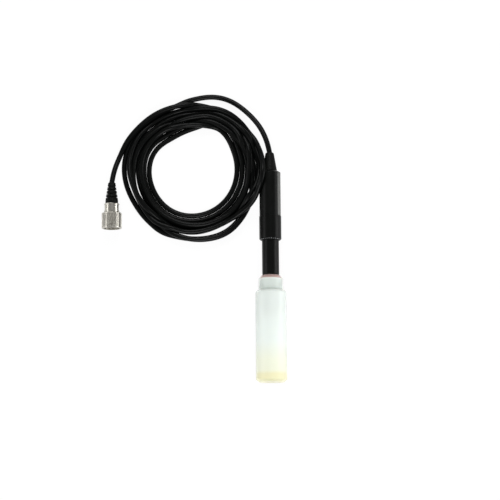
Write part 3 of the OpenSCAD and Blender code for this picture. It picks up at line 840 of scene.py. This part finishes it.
# %% Give each piece its finish
DRESS = [
    (black_abs, ["stem_tube", "collar", "handle_shell", "membrane_cap"]),
    (relief_rubber, ["strain_relief", "plug_boot"]),
    (soft_rubber, ["stem_seal", "lead_bung", "membrane_gasket"]),
    (cable_pvc, ["cable_tail", "cable_lead", "cable_coil", "plug_lead"]),
    (bottle_pe, ["storage_bottle"]),
    (cap_pp, ["bottle_cap"]),
    (foam, ["foam_pad"]),
    (seal_red, ["cap_seal", "plug_seal"]),
    (washer, ["seal_washer", "membrane_ring"]),
    (nickel, ["plug_back", "plug_body", "coupling_ring"]),
    (steel, ["cable_clamp", "temperature_button"]),
    (gold, ["cathode_disc", "plug_pins"]),
    (silver, ["anode_sleeve"]),
    (label_grey, ["label_plate"]),
    (board_green, ["circuit_board"]),
    (epoxy, ["amplifier_chip", "electrode_body", "plug_insert"]),
    (wire_amber, ["cable_cores", "sensor_leads"]),
    (bead, ["thermistor"]),
    (film, ["membrane"]),
]


def dress(piece, material):
    """Gives every slot of a piece one material."""
    piece.data.materials.clear()
    piece.data.materials.append(material)


for material, names in DRESS:
    for name in names:
        dress(nodes[name], material)
dress(cable, cable_pvc)
dress(snap_ring, steel)
missing = set(nodes) - {name for _, names in DRESS for name in names}
print("materials", len(DRESS), "nodes without one", sorted(missing))

# %% [markdown]
# Table and light
#
# The background is pure white and shows almost no shadow. More light would burn the bottle out, so
# the table itself shines, but only for rays that come from the camera, from a reflection or
# through a clear piece. For all other rays it is a pale table that takes the object's shadow.
#
# The blacks say where the light was: they are dark in the middle, with a thin line on the left and
# a broad glow on the right. So the strong lamps stand in front and behind, where a round piece
# lying along Y doesn't mirror them into the camera, and two weak panels stand left and right.

# %% Make the table
TABLE_HALF = 4.0
SHINING_SHARE = 0.93


def make_table():
    """A wide white table that the camera sees almost as pure white."""
    mesh = bpy.data.meshes.new("table")
    shape = bmesh.new()
    bmesh.ops.create_grid(shape, x_segments=1, y_segments=1, size=TABLE_HALF)
    shape.to_mesh(mesh)
    shape.free()
    table = bpy.data.objects.new("table", mesh)
    bpy.context.collection.objects.link(table)
    material, shader = principled("white_table", "#fcfcfc", 0.6)
    tree = material.node_tree
    glow = add(tree, "ShaderNodeEmission", {"Color": (1, 1, 1, 1), "Strength": 1.0})
    path = add(tree, "ShaderNodeLightPath")
    seen = add(tree, "ShaderNodeMath", {
        0: path.outputs["Is Camera Ray"], 1: path.outputs["Is Glossy Ray"],
    }, operation="MAXIMUM")
    seen = add(tree, "ShaderNodeMath", {
        0: seen.outputs[0], 1: path.outputs["Is Transmission Ray"],
    }, operation="MAXIMUM")
    share = add(tree, "ShaderNodeMath", {0: seen.outputs[0], 1: SHINING_SHARE},
                operation="MULTIPLY")
    both = add(tree, "ShaderNodeMixShader", {
        0: share.outputs[0], 1: shader.outputs[0], 2: glow.outputs[0],
    })
    tree.links.new(both.outputs[0], tree.nodes["Material Output"].inputs["Surface"])
    dress(table, material)
    return table


table = make_table()
print("table", 2 * TABLE_HALF, "m wide")

# %% Place the lamps
# Name, place, width of its square in metres, and power in watts
LAMPS = [
    ("front", (0.0, -1.15, 1.1), 0.7, 18.8),
    ("back", (0.0, 1.2, 1.1), 0.8, 16),
    ("right", (1.0, 0.0, 0.3), 0.55, 5.2),
    ("left", (-1.1, 0.0, 0.5), 0.35, 3),
]


def make_lamp(name, place, size, power):
    """A square area lamp that faces the middle of the picture."""
    data = bpy.data.lights.new(name, "AREA")
    data.size = size
    data.energy = power
    lamp = bpy.data.objects.new(name, data)
    lamp.location = place
    lamp.rotation_euler = (VIEW_CENTRE - Vector(place)).to_track_quat("-Z", "Y").to_euler()
    bpy.context.collection.objects.link(lamp)
    print(name, "lamp", power, "W at", place)


for lamp_row in LAMPS:
    make_lamp(*lamp_row)

# %% Light the world
WORLD_STRENGTH = 0.28
world = bpy.data.worlds.new("studio")
world.use_nodes = True
background = world.node_tree.nodes["Background"]
background.inputs["Color"].default_value = (1, 1, 1, 1)
background.inputs["Strength"].default_value = WORLD_STRENGTH
bpy.context.scene.world = world
bpy.context.scene.view_settings.view_transform = "Standard"
print("world strength", WORLD_STRENGTH)

# %% [markdown]
# Finishing

# %% Finish
bpy.context.view_layer.update()
